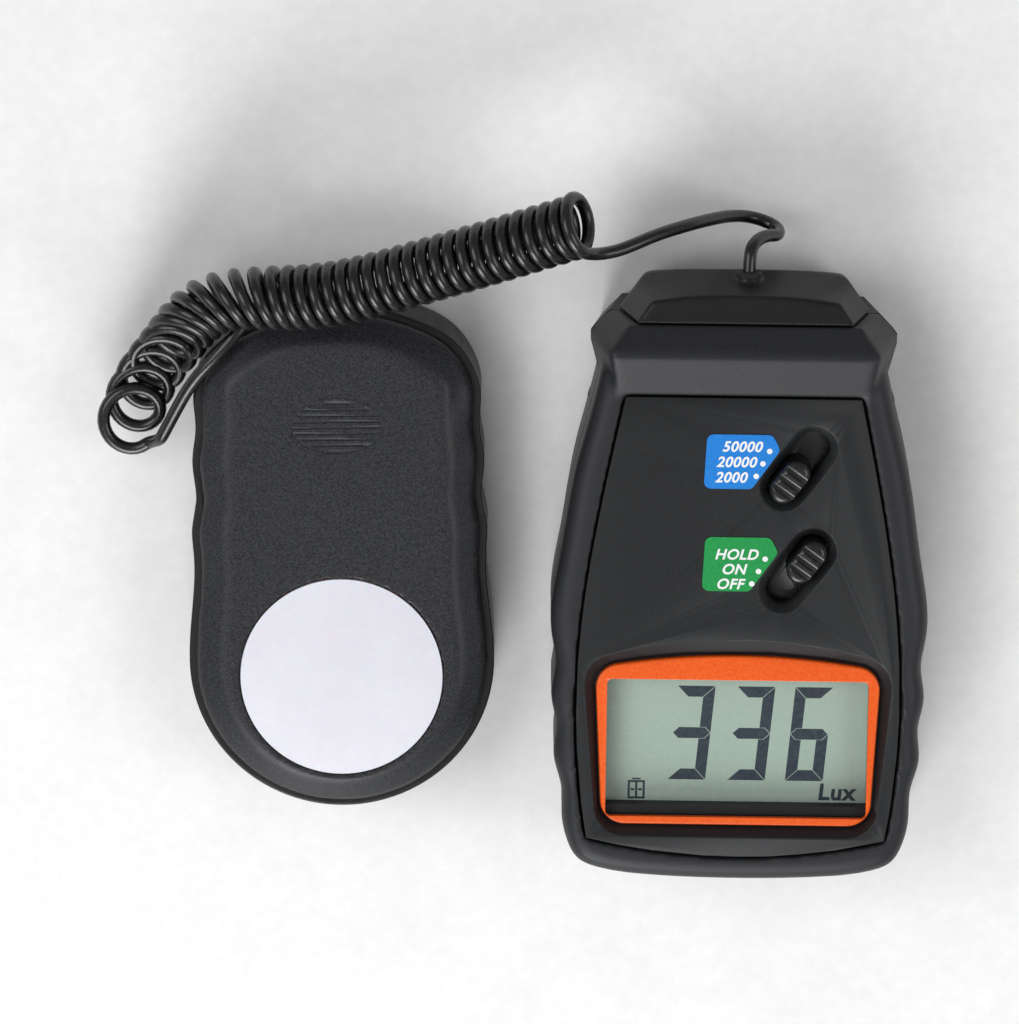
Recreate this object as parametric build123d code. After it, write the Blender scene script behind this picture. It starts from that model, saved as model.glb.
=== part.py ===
"""Handheld light meter: a meter with a display and two slide switches, and a sensor head on a curly lead.

Millimetres, +Z up. The meter lies on its back, its face upwards and its cord end towards +Y.
The origin is the middle of the meter's back, on the surface that it lies on.
"""
from build123d import *
import math
import os

# ---- meter: overall sizes ----
METER_LENGTH = 116.0
METER_WIDTH = 70.0
FACE_HEIGHT = 26.0
CREST_HEIGHT = 29.0
PARTING_HEIGHT = 14.0
WALL = 2.4
FLOOR = 3.3
LEDGE = 1.6
GAP = 0.3

# ---- meter: outline of the body ----
NECK_WIDTH = 53.0
GRIP_COUNT = 4
GRIP_PITCH = 11.8
GRIP_DEPTH = 0.8
GRIP_TOP = -10.7
SHOULDER_ROUND = 3.6
BACK_ROUND = 3.0

# ---- meter: collar and cap ----
COLLAR_WIDTH = 57.0
CAP_WIDTH = 47.2
CAP_END_WIDTH = 37.4
CAP_LENGTH = 8.4
CAP_BOW = 1.3
COLLAR_DEPTH = 13.7
CREST_FROM_CAP = 5.1
COLLAR_TAPER = 13.0
BACK_TAPER = 8.0
CAP_CAVITY_WIDTH = 37.0
CAP_CORNER = 2.6
END_OVERRUN = 4.0

# ---- face panel, bezel and display ----
PANEL_THICKNESS = 3.6
PANEL_TOP_WIDTH = 43.8
PANEL_WIDTH = 60.4
PANEL_BASE_WIDTH = 55.9
PANEL_MARGIN = 5.1
BEZEL_WIDTH = 53.4
BEZEL_BASE_WIDTH = 50.4
BEZEL_LENGTH = 33.0
BEZEL_MIDDLE = -30.6
BEZEL_BOW = 2.6
BEZEL_THICKNESS = 1.2
BEZEL_SINK = 1.4
WINDOW_WIDTH = 48.9
WINDOW_LENGTH = 26.8
WINDOW_MIDDLE = -32.2
DISPLAY_THICKNESS = 2.2
HOLDER_LIP = 1.7
DISPLAY_SINK = 2.8
BOARD_THICKNESS = 1.6
BOARD_HEIGHT = 15.0

# ---- slide switches ----
SLOT_ANGLE = 53.5
SLOT_WIDTH = 6.2
SLOT_REACH = 9.1
SLOT_BEVEL = 1.5
RANGE_MIDDLE = (10.4, 22.6)
POWER_MIDDLE = (10.6, 2.9)
KNOB_LENGTH = 9.2
KNOB_WIDTH = 5.2
KNOB_STAND = 2.4
SWITCH_STEP = 2.7
SHUTTER_LENGTH = 20.8
SHUTTER_WIDTH = 8.6
SHUTTER_THICKNESS = 0.8
STEM = 3.0
LABEL_LENGTH = 10.4
LABEL_CORNER = 1.3
LABEL_DROP = 4.0
LABEL_THICKNESS = 0.12

# ---- battery ----
BATTERY_DIAMETER = 10.3
BATTERY_LENGTH = 28.5
BATTERY_POLE = 1.1
BAY_LENGTH = 37.0
BAY_MIDDLE = -32.0
COVER_WIDTH = 40.0
COVER_TOP = -21.0
COVER_THICKNESS = 2.2
RAIL = 1.0
SPRING_WIRE = 0.8

# ---- screws ----
SCREW_HEAD = 4.4
SCREW_SHANK = 2.2
POST_DIAMETER = 5.0
POST_FOOT = 7.6
METER_POSTS = ((25.0, 30.0), (24.5, -51.8))

# ---- sensor head ----
SENSOR_WIDTH = 57.2
SENSOR_LENGTH = 96.8
SENSOR_PLACE = (-74.75, 1.6)
SENSOR_TURN = 1.5
SENSOR_HEIGHT = 21.0
SHELL_PARTING = 16.4
RIM_HEIGHT = 17.9
SHELL_INSET = 1.35
RIM_LEDGE = 0.5
SENSOR_WALL = 2.2
SHELL_THICKNESS = 1.8
DIFFUSER_DIAMETER = 37.8
DIFFUSER_PLACE = -21.8
DIFFUSER_DOME = 0.7
THUMB_PLACE = 26.2
THUMB_WIDTH = 17.6
THUMB_LENGTH = 10.2
THUMB_RIBS = 8
THUMB_DEPTH = 0.3
SENSOR_POSTS = ((18.0, 27.0), (-18.0, 27.0))

# ---- curly lead ----
LEAD_DIAMETER = 2.4
COIL_DIAMETER = 12.4
GLAND_HEIGHT = 18.4
GLAND_FLANGE = 4.8
GLAND_NECK = 3.6
GLAND_SIDE = 0.6
GLAND_SEAT = 57.4
CAP_END_WALL = 2.6
SENSOR_GLAND_PLACE = -6.0
SENSOR_GLAND_HEIGHT = 9.0

HALF_LENGTH = METER_LENGTH / 2
HALF_WIDTH = METER_WIDTH / 2
CAP_LINE = HALF_LENGTH - CAP_LENGTH
COLLAR_START = CAP_LINE - COLLAR_DEPTH
BODY_BOTTOM = -HALF_LENGTH
BOARD_TOP = BOARD_HEIGHT + BOARD_THICKNESS
PANEL_UNDER = FACE_HEIGHT - PANEL_THICKNESS
BEZEL_TOP = FACE_HEIGHT - BEZEL_SINK
BEZEL_UNDER = BEZEL_TOP - BEZEL_THICKNESS
DISPLAY_TOP = PANEL_UNDER - DISPLAY_SINK
DISPLAY_UNDER = DISPLAY_TOP - DISPLAY_THICKNESS
BATTERY_HEIGHT = COVER_THICKNESS + GAP + BATTERY_DIAMETER / 2
BATTERY_CASE = BATTERY_LENGTH - BATTERY_POLE + 0.1
BATTERY_PLACE = 0.5 - BAY_LENGTH / 2 + BATTERY_POLE + BATTERY_CASE / 2


def flat_face(edges):
    """Face inside a closed outline, looking up."""
    face = make_face(edges).face()
    return face if face.normal_at().Z > 0 else -face


def mirrored_face(side, start):
    """Face from a right-hand outline down to the middle line, its mirror image and a straight top."""
    return flat_face([side, mirror(side, Plane.YZ), Line((-start[0], start[1]), start)])


def half_polygon(points):
    """Face from right-hand corners, mirrored about the middle plane."""
    left = [(-x, y) for x, y in reversed(points) if x > 0]
    return flat_face(Polyline(*points, *left, close=True))


def plate(face, bottom, top):
    """Prism of a flat face between two heights."""
    return extrude(Pos(0, 0, bottom) * face, amount=top - bottom, dir=(0, 0, 1))


def draft(face, start, rise, taper):
    """Prism of a flat face that narrows as it rises, or as it goes down for a negative rise."""
    inset = abs(rise) * math.tan(math.radians(taper))
    narrow = offset(face, -inset, kind=Kind.INTERSECTION).face()
    return loft([Pos(0, 0, start) * face, Pos(0, 0, start + rise) * narrow], ruled=True)


def block(x_size, y_size, bottom, top, x=0.0, y=0.0):
    """Box between two heights about a place in plan."""
    return Pos(x, y, (bottom + top) / 2) * Box(x_size, y_size, top - bottom)


def rod(diameter, bottom, top, x=0.0, y=0.0):
    """Upright cylinder between two heights."""
    return Pos(x, y, (bottom + top) / 2) * Cylinder(diameter / 2, top - bottom)


def slab(profile, half_width):
    """Prism along X of a profile drawn in Y and Z."""
    face = make_face(Polyline(*[(0, y, z) for y, z in profile], close=True))
    return Pos(-half_width, 0, 0) * extrude(face, amount=2 * half_width, dir=(1, 0, 0))


def export(name, shape):
    """Write one sub-part."""
    export_step(shape, f"parts/{name}.step")


def mirrored_posts(places):
    """The four places of a pair of mirrored posts."""
    return [(side * x, y) for x, y in places for side in (-1, 1)]


# ---- meter housing ----
def grip_points():
    """Crests and valleys of the finger grips down one side."""
    points = []
    lowest = GRIP_TOP - (GRIP_COUNT - 1) * GRIP_PITCH
    for step in range(2 * GRIP_COUNT - 1):
        y = GRIP_TOP - step * GRIP_PITCH / 2
        drop = 2.4 * ((GRIP_TOP - y) / (GRIP_TOP - lowest)) ** 3
        valley = GRIP_DEPTH if step % 2 else 0.0
        points.append((HALF_WIDTH - drop - valley, y))
    return points


def body_outline():
    """Plan of the body: neck, widening shoulders, finger grips and rounded base."""
    start = (NECK_WIDTH / 2, CAP_LINE - 9.0)
    shoulder = [(HALF_WIDTH - 3.7, 19.5), (HALF_WIDTH - 1.3, 4.0)]
    corner = [
        (HALF_WIDTH - 3.5, BODY_BOTTOM + 6.9),
        (HALF_WIDTH - 5.4, BODY_BOTTOM + 3.6),
        (HALF_WIDTH - 9.3, BODY_BOTTOM + 1.8),
    ]
    base = [(HALF_WIDTH * 0.42, BODY_BOTTOM + 0.4), (0, BODY_BOTTOM)]
    points = [start] + shoulder + grip_points() + corner + base
    side = Spline(*points, tangents=[(0.16, -1), (-1, 0)])
    return mirrored_face(side, start)


def collar_outline():
    """Plan of the collar at the parting line."""
    half = COLLAR_WIDTH / 2
    return half_polygon([
        (CAP_WIDTH / 2 + 0.6 - 0.94 * END_OVERRUN, CAP_LINE + 1.0 + END_OVERRUN),
        (half - 0.9, CAP_LINE - 2.6),
        (half, CAP_LINE - 3.8),
        (half, CAP_LINE - 5.6),
        (half - 1.6, COLLAR_START + 2.2),
        (half - 1.8, COLLAR_START - END_OVERRUN),
    ])


def collar_solid():
    """Collar ridge between the face and the cap, sloping to both."""
    up = draft(collar_outline(), PARTING_HEIGHT, CREST_HEIGHT - PARTING_HEIGHT, COLLAR_TAPER)
    down = draft(collar_outline(), PARTING_HEIGHT, -PARTING_HEIGHT, BACK_TAPER)
    crest = CAP_LINE - CREST_FROM_CAP
    roof = slab([(COLLAR_START, 0), (COLLAR_START, FACE_HEIGHT), (crest - 1.6, CREST_HEIGHT - 0.4),
                 (crest - 0.5, CREST_HEIGHT), (crest + 0.4, CREST_HEIGHT - 0.1),
                 (CAP_LINE, FACE_HEIGHT + 0.1), (CAP_LINE, 1.0), (CAP_LINE - 4.0, 0)], METER_WIDTH)
    return up & roof, down & roof


def cap_outline():
    """Plan of the end cap, run on past the parting line: slanted sides and a bowed end."""
    tip = CAP_END_WIDTH / 2
    rise = HALF_LENGTH - CAP_BOW - CAP_LINE
    base = tip + (CAP_WIDTH / 2 - tip) * (rise + END_OVERRUN) / rise
    foot = CAP_LINE - END_OVERRUN
    shoulder = HALF_LENGTH - CAP_BOW
    face = flat_face([
        Line((base, foot), (tip, shoulder)),
        ThreePointArc((tip, shoulder), (0, HALF_LENGTH), (-tip, shoulder)),
        Line((-tip, shoulder), (-base, foot)),
        Line((-base, foot), (base, foot)),
    ])
    return fillet(face.vertices().filter_by(lambda v: v.Y > CAP_LINE), CAP_CORNER).face()


def neck_section(gap=0.0):
    """Box-shaped passage through the neck, narrower by a gap on each side."""
    return block(CAP_CAVITY_WIDTH - 2 * gap, 2 * COLLAR_DEPTH, FLOOR + 0.8 + gap,
                 FACE_HEIGHT - WALL - gap, y=CAP_LINE)


def make_top_cap():
    """End cap that carries the cord gland, hollow, with a spigot into the neck."""
    up = draft(cap_outline(), PARTING_HEIGHT, FACE_HEIGHT + 0.2 - PARTING_HEIGHT, COLLAR_TAPER)
    down = draft(cap_outline(), PARTING_HEIGHT, -PARTING_HEIGHT, BACK_TAPER)
    end = HALF_LENGTH + 0.2
    face_foot = GLAND_HEIGHT - GLAND_FLANGE / 2 - 0.4
    profile = slab([(CAP_LINE + GAP, 1.1), (CAP_LINE + GAP, FACE_HEIGHT), (end - 1.0, FACE_HEIGHT - 0.6),
                    (end, FACE_HEIGHT - 2.0), (end, face_foot), (end - 4.6, 2.6)], METER_WIDTH)
    outside = (up & profile) + (down & profile)
    spigot = neck_section(GAP) & block(METER_WIDTH, 2.6 + GAP + 0.4, 0, CREST_HEIGHT,
                                       y=CAP_LINE - 1.0)
    hollow = block(CAP_CAVITY_WIDTH - 11.0, 12, FLOOR + 7.5, FACE_HEIGHT - WALL - 2.6,
                   y=GLAND_SEAT - CAP_END_WALL - 6)
    bore = Pos(GLAND_SIDE, HALF_LENGTH, GLAND_HEIGHT) * Rot(90, 0, 0) * Cylinder(GLAND_NECK / 2 + 0.1, 12)
    seat = Pos(GLAND_SIDE, GLAND_SEAT - 2, GLAND_HEIGHT) * Rot(90, 0, 0) * Cylinder(GLAND_FLANGE / 2, 4)
    return outside + seat + spigot - hollow - bore


def cavity_outline():
    """Plan of the space inside the two housing shells."""
    side = HALF_WIDTH - WALL - GRIP_DEPTH
    return half_polygon([
        (NECK_WIDTH / 2 - WALL - 0.3, COLLAR_START + 4.0),
        (side - 3.4, 19.5),
        (side, GRIP_TOP),
        (side, GRIP_TOP - 1.5 * GRIP_PITCH),
        (side - 2.3, BODY_BOTTOM + 9.5),
        (side - 6.4, BODY_BOTTOM + WALL + 1.2),
        (HALF_WIDTH * 0.3, BODY_BOTTOM + WALL),
    ])


def panel_outline(grow=0.0):
    """Plan of the face panel: narrow top, bulging sides and a bowed base."""
    top = COLLAR_START + GAP + grow - 0.3
    bottom = BODY_BOTTOM + PANEL_MARGIN - grow
    start = (PANEL_TOP_WIDTH / 2 + grow, top)
    foot = (PANEL_BASE_WIDTH / 2 + grow, bottom + 3.4)
    side = Spline(start, (PANEL_WIDTH / 2 - 3.9 + grow, 14.0), (PANEL_WIDTH / 2 + grow, -20.0),
                  (PANEL_WIDTH / 2 - 0.5 + grow, -36.0), foot)
    lower = ThreePointArc(foot, (0, bottom), (-foot[0], foot[1]))
    left = mirror(side, Plane.YZ)
    return flat_face([side, lower, left, Line((-start[0], start[1]), start)])


def make_front_housing():
    """Upper shell with the collar, the ledge for the face panel and the screw posts."""
    shell = plate(body_outline(), PARTING_HEIGHT, FACE_HEIGHT)
    rim = shell.edges().filter_by(lambda e: e.center().Z > FACE_HEIGHT - 0.1 and e.length > 80)
    shell = fillet(rim, SHOULDER_ROUND)
    upper_collar, _ = collar_solid()
    shell = shell + upper_collar
    shell = shell - plate(cavity_outline(), PARTING_HEIGHT - 1, PANEL_UNDER - LEDGE)
    shell = shell - (neck_section() & block(METER_WIDTH, 40, PARTING_HEIGHT - 1, CREST_HEIGHT, y=CAP_LINE - 1))
    shell = shell - plate(panel_outline(GAP), PANEL_UNDER, CREST_HEIGHT + 5)
    opening = plate(panel_outline(-LEDGE), PANEL_UNDER - LEDGE - 1, CREST_HEIGHT)
    shell = shell - opening
    for x, y in mirrored_posts(METER_POSTS):
        shell = shell + (rod(POST_DIAMETER, PARTING_HEIGHT, PANEL_UNDER - LEDGE + 0.2, x, y))
        shell = shell - rod(SCREW_SHANK, PARTING_HEIGHT - 1, PANEL_UNDER - LEDGE - 1.2, x, y)
    return shell


def cover_zone(grow, bottom=-1.0):
    """The battery cover's plate and its side tongues, grown by a clearance."""
    length = COVER_TOP + grow - BODY_BOTTOM + 5
    middle = COVER_TOP + grow - length / 2
    flat = block(COVER_WIDTH + 2 * grow, length, bottom, COVER_THICKNESS + grow, y=middle)
    tongue = block(COVER_WIDTH + 2 * RAIL + 2 * grow, length, 0.9 - grow, 1.6 + grow, y=middle)
    return flat, tongue


def bay_box(grow, top):
    """The battery bay's space, grown by its wall."""
    return block(BAY_LENGTH + 2 * grow, BATTERY_DIAMETER + 1.2 + 2 * grow, FLOOR - 1 if grow else -1, top,
                 y=BAY_MIDDLE)


def rear_blank():
    """The outside of the lower half before it is hollowed."""
    shell = plate(body_outline(), 0, PARTING_HEIGHT)
    rim = shell.edges().filter_by(lambda e: e.center().Z < 0.1 and e.length > 80)
    return fillet(rim, BACK_ROUND)


def make_rear_housing():
    """Lower shell with the battery bay, the cover's opening and rails, and the screw posts."""
    _, lower_collar = collar_solid()
    shell = rear_blank() + lower_collar
    shell = shell - plate(cavity_outline(), FLOOR, PARTING_HEIGHT + 1)
    shell = shell - (neck_section() & block(METER_WIDTH, 40, 0, PARTING_HEIGHT + 1, y=CAP_LINE - 1))
    bay_top = BATTERY_HEIGHT + BATTERY_DIAMETER / 2 + GAP
    shell = shell + bay_box(1.2, bay_top + 0.8)
    for x, y in mirrored_posts(METER_POSTS):
        shell = shell + rod(POST_DIAMETER, FLOOR - 1, PARTING_HEIGHT, x, y) + rod(POST_FOOT, FLOOR - 1, 5.2, x, y)
    flat, tongue = cover_zone(GAP)
    shell = shell - flat - tongue - bay_box(0, bay_top)
    for x, y in mirrored_posts(METER_POSTS):
        shell = shell - rod(SCREW_HEAD + 0.6, -1, 3.2, x, y) - rod(SCREW_SHANK + 0.4, 0, PARTING_HEIGHT + 1, x, y)
    return shell


def make_battery_cover():
    """Sliding cover with grip ribs, its foot shaped like the housing's end."""
    flat, tongue = cover_zone(0.0, bottom=0.0)
    cover = (flat + tongue) & rear_blank()
    for step in range(5):
        groove = block(14, 0.8, -1, 0.4, y=COVER_TOP - 10 - 2.0 * step)
        cover = cover - groove
    return cover


def screws(places, head_bottom, length):
    """Pan-head screws that point up, each with a cross recess in its head."""
    group = []
    for x, y in places:
        screw = rod(SCREW_HEAD, head_bottom, head_bottom + 1.6, x, y)
        screw = screw + rod(SCREW_SHANK - 0.1, head_bottom + 1.5, head_bottom + length, x, y)
        screw = screw - block(2.6, 0.6, head_bottom - 1, head_bottom + 0.8, x, y)
        screw = screw - block(0.6, 2.6, head_bottom - 1, head_bottom + 0.8, x, y)
        group.append(screw)
    return Compound(children=group)


# ---- face panel, bezel and display ----
def bezel_outline(top=0.0, bottom=0.0, side_top=0.0, side_bottom=0.0, corner=4.6):
    """Plan of the display bezel: an arched top, sides that close in downwards and a flat base."""
    up = BEZEL_MIDDLE + BEZEL_LENGTH / 2
    down = BEZEL_MIDDLE - BEZEL_LENGTH / 2 - bottom
    half_top = BEZEL_WIDTH / 2 + side_top
    half_base = BEZEL_BASE_WIDTH / 2 + side_bottom
    shoulder = up - BEZEL_BOW
    face = flat_face([
        ThreePointArc((half_top, shoulder + top * 0.4), (0, up + top), (-half_top, shoulder + top * 0.4)),
        Line((-half_top, shoulder + top * 0.4), (-half_base, down)),
        Line((-half_base, down), (half_base, down)),
        Line((half_base, down), (half_top, shoulder + top * 0.4)),
    ])
    return fillet(face.vertices(), corner)


def window(bottom, top, grow=0.0):
    """The display's clear opening."""
    hole = RectangleRounded(WINDOW_WIDTH + 2 * grow, WINDOW_LENGTH + 2 * grow, 1.0 + grow)
    return plate(Pos(0, WINDOW_MIDDLE) * hole, bottom, top)


def slot_place(middle, along=0.0):
    """Place on a switch's slot, turned to the slot's direction."""
    angle = math.radians(SLOT_ANGLE)
    return Pos(middle[0] + along * math.cos(angle), middle[1] + along * math.sin(angle)) * Rot(0, 0, SLOT_ANGLE)


def slot_cut(middle):
    """A switch's slot through the panel with a wide bevel at its mouth."""
    flat = SlotCenterToCenter(SLOT_REACH, SLOT_WIDTH)
    wide = SlotCenterToCenter(SLOT_REACH, SLOT_WIDTH + 2 * SLOT_BEVEL + 0.2)
    through = plate(flat, PANEL_UNDER - 1, FACE_HEIGHT + 1)
    mouth = loft([Pos(0, 0, FACE_HEIGHT - SLOT_BEVEL) * flat.face(), Pos(0, 0, FACE_HEIGHT + 0.1) * wide.face()])
    return slot_place(middle) * (through + mouth)


def make_face_panel():
    """Inlaid face plate with the bezel's sloped recess, the window and the two slots."""
    panel = plate(panel_outline(), PANEL_UNDER, FACE_HEIGHT)
    low = Pos(0, 0, BEZEL_UNDER) * bezel_outline(0.3, 0.3, 0.3, 0.3)
    high = Pos(0, 0, FACE_HEIGHT) * bezel_outline(3.6, 2.0, 2.4, 0.9, corner=6.0)
    panel = panel - loft([low, high]) - window(PANEL_UNDER - 1, FACE_HEIGHT)
    for middle in (RANGE_MIDDLE, POWER_MIDDLE):
        panel = panel - slot_cut(middle)
    return panel


def make_bezel():
    """Coloured display bezel, seated on the recess floor."""
    bezel = plate(bezel_outline(), BEZEL_UNDER, BEZEL_TOP)
    rim = bezel.edges().filter_by(lambda e: e.center().Z > BEZEL_TOP - 0.01)
    bezel = fillet(rim, 0.45)
    return bezel - window(BEZEL_UNDER - 1, BEZEL_TOP + 1)


def make_display_holder():
    """Frame that clamps the display glass under the panel."""
    outer = block(WINDOW_WIDTH + 7, WINDOW_LENGTH + 7, BOARD_TOP, PANEL_UNDER - LEDGE - GAP, y=WINDOW_MIDDLE)
    collar = block(WINDOW_WIDTH + 2, WINDOW_LENGTH + 1.6, DISPLAY_TOP, PANEL_UNDER, y=WINDOW_MIDDLE)
    pocket = block(WINDOW_WIDTH + 3.6, WINDOW_LENGTH + 4.6, BOARD_TOP - 1, DISPLAY_TOP, y=WINDOW_MIDDLE)
    view = window(BOARD_TOP, PANEL_UNDER + 1, grow=0.1)
    view = view & block(2 * WINDOW_WIDTH, WINDOW_LENGTH, BOARD_TOP, PANEL_UNDER + 1, y=WINDOW_MIDDLE + HOLDER_LIP)
    return outer + collar - pocket - view


def make_display():
    """Liquid crystal display glass."""
    return block(WINDOW_WIDTH + 3.2, WINDOW_LENGTH + 4.2, DISPLAY_UNDER, DISPLAY_TOP, y=WINDOW_MIDDLE)


def make_contact_strips():
    """Rubber strips that join the display's edges to the board."""
    reach = (WINDOW_LENGTH + 4.2) / 2 - 1.4
    return Compound(children=[
        block(WINDOW_WIDTH, 2.0, BOARD_TOP, DISPLAY_UNDER, y=WINDOW_MIDDLE + side * reach)
        for side in (-1, 1)
    ])


def make_main_board():
    """Circuit board between the shells, notched round the screw posts."""
    side = HALF_WIDTH - WALL - GRIP_DEPTH - 0.8
    outline = half_polygon([
        (NECK_WIDTH / 2 - WALL - 2.0, COLLAR_START - 1.0),
        (side - 4.2, 18.0),
        (side, GRIP_TOP),
        (side, GRIP_TOP - 1.5 * GRIP_PITCH),
        (side - 2.8, BODY_BOTTOM + 9.9),
        (side - 6.9, BODY_BOTTOM + WALL + 2.4),
    ])
    board = plate(outline, BOARD_HEIGHT, BOARD_TOP)
    for x, y in mirrored_posts(METER_POSTS):
        board = board - rod(POST_DIAMETER + 2 * GAP + 0.4, BOARD_HEIGHT - 1, BOARD_TOP + 1, x, y)
    return board


def make_board_parts():
    """Converter chip, amplifier chip, capacitors and trimmers on the board's upper side."""
    low = BOARD_TOP
    parts = [
        block(18.0, 10.0, low, low + 2.4, -14.0, -6.0),
        block(5.0, 4.0, low, low + 1.7, -14.0, 8.0),
        block(6.6, 6.6, low, low + 3.6, -15.0, 17.0),
        block(6.6, 6.6, low, low + 3.6, -5.0, 26.0),
    ]
    parts += [rod(4.2, low, low + 4.2, -23.5 + 6.0 * step, 1.5) for step in range(2)]
    parts += [block(2.4, 1.4, low, low + 0.8, -2.0 - 4.0 * step, 12.0) for step in range(3)]
    return Compound(children=parts)


def make_board_posts():
    """Spacers under the board, resting on the rear housing's floor."""
    places = [(side * 12.0, y) for side in (-1, 1) for y in (26.0, -12.0)]
    return Compound(children=[rod(4.0, FLOOR, BOARD_HEIGHT, x, y) for x, y in places])


# ---- slide switches ----
def make_switch_body(middle):
    """Slide switch on the board, with a trench for its slider."""
    body = block(17.0, 7.0, BOARD_TOP, BOARD_TOP + 4.4)
    trench = block(SLOT_REACH + 4.4, STEM + 1.6, BOARD_TOP + 1.0, BOARD_TOP + 5)
    return slot_place(middle) * (body - trench)


def make_slider(middle, along):
    """Slider in the switch, with its stem up into the knob."""
    foot = block(STEM + 3, STEM + 1.0, BOARD_TOP + 1.3, BOARD_TOP + 2.9)
    stem = block(STEM, STEM, BOARD_TOP + 2.8, PANEL_UNDER + 1.6)
    return slot_place(middle, along) * (foot + stem)


def make_knob(middle, along):
    """Ribbed knob on a dust shutter that runs under the panel."""
    top = FACE_HEIGHT + KNOB_STAND
    base = PANEL_UNDER - GAP
    knob = plate(SlotOverall(KNOB_LENGTH, KNOB_WIDTH), base - 0.1, top)
    rim = knob.edges().filter_by(lambda e: e.center().Z > top - 0.01)
    knob = fillet(rim, 1.3)
    for step in (-1, 0, 1):
        groove = Pos(step * 2.0, 0, top + 0.25) * Rot(90, 0, 0) * Cylinder(0.75, KNOB_WIDTH + 2)
        knob = knob - groove
    shutter = plate(SlotOverall(SHUTTER_LENGTH, SHUTTER_WIDTH), base - SHUTTER_THICKNESS, base)
    socket = block(STEM + 0.2, STEM + 0.2, base - 2, PANEL_UNDER + 1.8)
    return slot_place(middle, along) * (knob + shutter - socket)


def label_outline(low):
    """Plan of a printed label left of a slot, its right side slanted along the slot."""
    high = low + LABEL_LENGTH
    corners = [(1.7, low), (6.9, low + 7.5), (5.4, high), (-6.7, high), (-7.2, low)]
    return fillet(flat_face(Polyline(*corners, close=True)).vertices(), LABEL_CORNER)


# ---- battery ----
def make_battery():
    """Small cylindrical battery lying across the meter, with its raised pole."""
    place = Pos(BATTERY_PLACE, BAY_MIDDLE, BATTERY_HEIGHT) * Rot(0, 90, 0)
    case = Cylinder(BATTERY_DIAMETER / 2, BATTERY_CASE)
    case = fillet(case.edges(), 0.5)
    pole = Pos(0, 0, BATTERY_CASE / 2 + BATTERY_POLE / 2 - 0.1) * Cylinder(2.0, BATTERY_POLE)
    return place * Rot(180, 0, 0) * (case + pole)


def make_contact_plates():
    """Spring-metal contacts at the ends of the battery bay."""
    plates = []
    for side in (-1, 1):
        x = side * (BAY_LENGTH / 2 - 0.3)
        plates.append(block(0.4, 8.0, COVER_THICKNESS + 0.8, COVER_THICKNESS + 9.6, x, BAY_MIDDLE))
    return Compound(children=plates)


def make_battery_spring():
    """Coil spring that presses on the battery's flat end."""
    start = BATTERY_PLACE + BATTERY_CASE / 2
    room = BAY_LENGTH / 2 - 0.5 - start - SPRING_WIRE
    coil = Helix(pitch=(room - 0.1) / 3, height=room - 0.1, radius=3.0)
    wire = sweep(Plane(origin=coil @ 0, z_dir=coil % 0) * Circle(SPRING_WIRE / 2), path=coil)
    return Pos(start + SPRING_WIRE / 2 + 0.05, BAY_MIDDLE, BATTERY_HEIGHT) * Rot(0, 90, 0) * wire


# ---- sensor head ----
def sensor_outline(inset=0.0):
    """Plan of the sensor head: round base, waved waist and crowned top."""
    half = SENSOR_WIDTH / 2
    end = SENSOR_LENGTH / 2
    ball = -end + half
    side = [(0.0, 4.5), (1.2, 21.0), (1.0, 25.5), (1.9, 31.0), (1.35, 38.7), (2.1, 45.2), (1.8, 51.2)]
    crown = [(3.2, 11.8), (7.1, 6.4), (14.6, 2.4)]
    points = [(half - drop - inset, ball + rise) for drop, rise in side]
    points += [(half - drop - inset * 0.75, end - fall - inset * 0.75) for drop, fall in crown]
    points.append((0, end - inset))
    upper = Spline((half - inset, ball), *points[1:], tangents=[(0, 1), (-1, 0)])
    base = ThreePointArc((half - inset, ball), (0, -end + inset), (-half + inset, ball))
    return flat_face([upper, mirror(upper, Plane.YZ), base])


def sensor_place():
    """Where the sensor head lies beside the meter."""
    return Pos(*SENSOR_PLACE, 0) * Rot(0, 0, SENSOR_TURN)


def thumb_mark():
    """Shallow oval recess with fine ribs left standing in it."""
    floor = SENSOR_HEIGHT - THUMB_DEPTH
    recess = plate(Ellipse(THUMB_WIDTH / 2, THUMB_LENGTH / 2), floor, SENSOR_HEIGHT + 1)
    step = THUMB_LENGTH / (THUMB_RIBS + 1)
    for index in range(THUMB_RIBS):
        y = -THUMB_LENGTH / 2 + (index + 1) * step
        half = THUMB_WIDTH / 2 * math.sqrt(1 - (2 * y / THUMB_LENGTH) ** 2) - 0.4
        recess = recess - block(2 * half, step * 0.4, floor - 1, SENSOR_HEIGHT + 2, y=y)
    return Pos(0, THUMB_PLACE) * recess


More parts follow.
